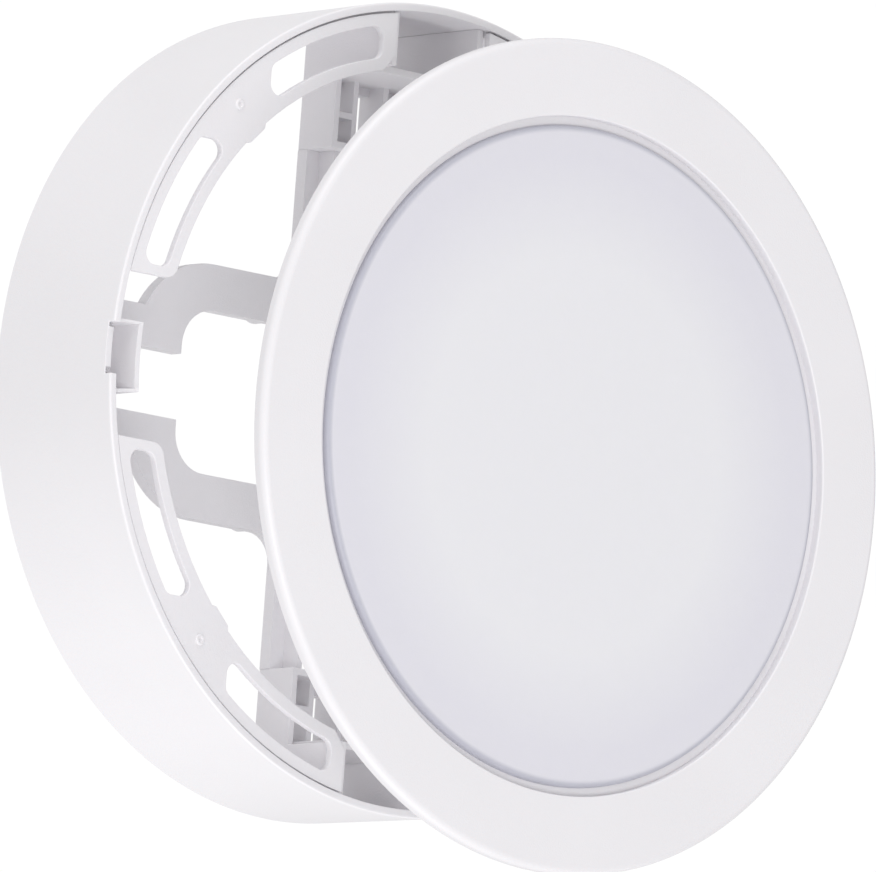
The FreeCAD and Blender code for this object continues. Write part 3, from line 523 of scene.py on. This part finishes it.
def placeCamera():
    tilt, roll, turn = (math.radians(lens[key]) for key in ("tiltDeg", "rollDeg", "turnDeg"))
    outward = Vector((0, 0, -1))
    across = Vector((-math.cos(turn), math.sin(turn), 0))
    downRow = Vector((-math.sin(turn), -math.cos(turn), 0))
    alongRoll = Vector((math.cos(roll), math.sin(roll), 0))
    outwardSeen = alongRoll * math.sin(tilt) + Vector((0, 0, math.cos(tilt)))
    acrossSeen = alongRoll * math.cos(tilt) - Vector((0, 0, math.sin(tilt)))
    downSeen = Vector((-math.sin(roll), math.cos(roll), 0))
    right, down, back = (outward * outwardSeen[i] + across * acrossSeen[i] + downRow * downSeen[i]
                         for i in range(3))
    aim = Vector((0, 0, lens["aimZ"]))
    place = aim + back * lens["distance"] + (right * lens["rightMm"] + down * lens["downMm"]) * mm
    turned = Matrix((right, -down, back)).transposed().to_4x4()
    data = bpy.data.cameras.new("mainCamera")
    data.sensor_width = lens["sensorMm"]
    data.lens = lens["pxPerMm"] * lens["distance"] / mm * lens["sensorMm"] / lens["widthPx"]
    data.clip_end = lens["clipEnd"]
    camera = bpy.data.objects.new("mainCamera", data)
    camera.matrix_world = Matrix.Translation(place) @ turned
    scene.collection.objects.link(camera)
    scene.camera = camera


# Lamps are in metres and watts. The dome lights the part, and the camera sees the backdrop.
studio = {"dome": 0.70, "backdrop": 1.02, "floorZ": -6.0, "floorSize": 30.0, "floorCells": 4,
          "floorGreys": (0.84, 0.88), "floorCloud": 1.5, "floorDetail": 3.0,
          "floorMargin": 0.3, "floorRoughness": 0.9,
          "lamps": [{"name": "keyBelow", "from": (1.65, -1.05, -2.28), "size": 1.4, "watts": 33.0},
                    {"name": "fillTop", "from": (0.6, 2.7, -0.9), "size": 1.8, "watts": 30.0},
                    {"name": "fillBottom", "from": (0.3, -2.9, -0.7), "size": 1.8,
                     "watts": 24.0}]}


def whiteSky(node, strength):
    node.inputs["Color"].default_value = (1.0, 1.0, 1.0, 1.0)
    node.inputs["Strength"].default_value = strength
    return node.outputs["Background"]


def lightStudio():
    world = bpy.data.worlds.new("studioDome")
    world.use_nodes = True
    scene.world = world
    tree = world.node_tree
    dome = whiteSky(tree.nodes["Background"], studio["dome"])
    backdrop = whiteSky(tree.nodes.new("ShaderNodeBackground"), studio["backdrop"])
    path = tree.nodes.new("ShaderNodeLightPath")
    mix = tree.nodes.new("ShaderNodeMixShader")
    tree.links.new(path.outputs["Is Camera Ray"], mix.inputs["Fac"])
    tree.links.new(dome, mix.inputs[1])
    tree.links.new(backdrop, mix.inputs[2])
    tree.links.new(mix.outputs["Shader"], tree.nodes["World Output"].inputs["Surface"])
    scene.view_settings.view_transform = "Standard"
    for lamp in studio["lamps"]:
        data = bpy.data.lights.new(lamp["name"], "AREA")
        data.shape = "DISK"
        data.size = lamp["size"]
        data.energy = lamp["watts"]
        light = bpy.data.objects.new(lamp["name"], data)
        place = Vector(lamp["from"])
        toPart = Vector((0, 0, lens["aimZ"])) - place
        aimed = toPart.to_track_quat("-Z", "Y").to_matrix().to_4x4()
        light.matrix_world = Matrix.Translation(place) @ aimed
        scene.collection.objects.link(light)


def layFloor():
    mesh = bpy.data.meshes.new("studioFloor")
    bm = bmesh.new()
    cells = studio["floorCells"]
    bmesh.ops.create_grid(bm, x_segments=cells, y_segments=cells, size=studio["floorSize"] / 2,
                          matrix=Matrix.Translation((0, 0, studio["floorZ"])))
    bm.to_mesh(mesh)
    bm.free()
    floor = bpy.data.objects.new("studioFloor", mesh)
    scene.collection.objects.link(floor)
    material, tree, shader = newMaterial("paleFloor")
    cloud = noise(tree, objectPoint(tree), studio["floorCloud"], studio["floorDetail"])
    dark, light = ((grey, grey, grey) for grey in studio["floorGreys"])
    stops = [(studio["floorMargin"], dark), (1 - studio["floorMargin"], light)]
    tree.links.new(ramp(tree, cloud, stops), shader.inputs["Base Color"])
    setValue(shader, "Roughness", studio["floorRoughness"])
    mesh.materials.append(material)


placeCamera()
lightStudio()
layFloor()
print("studio ready")
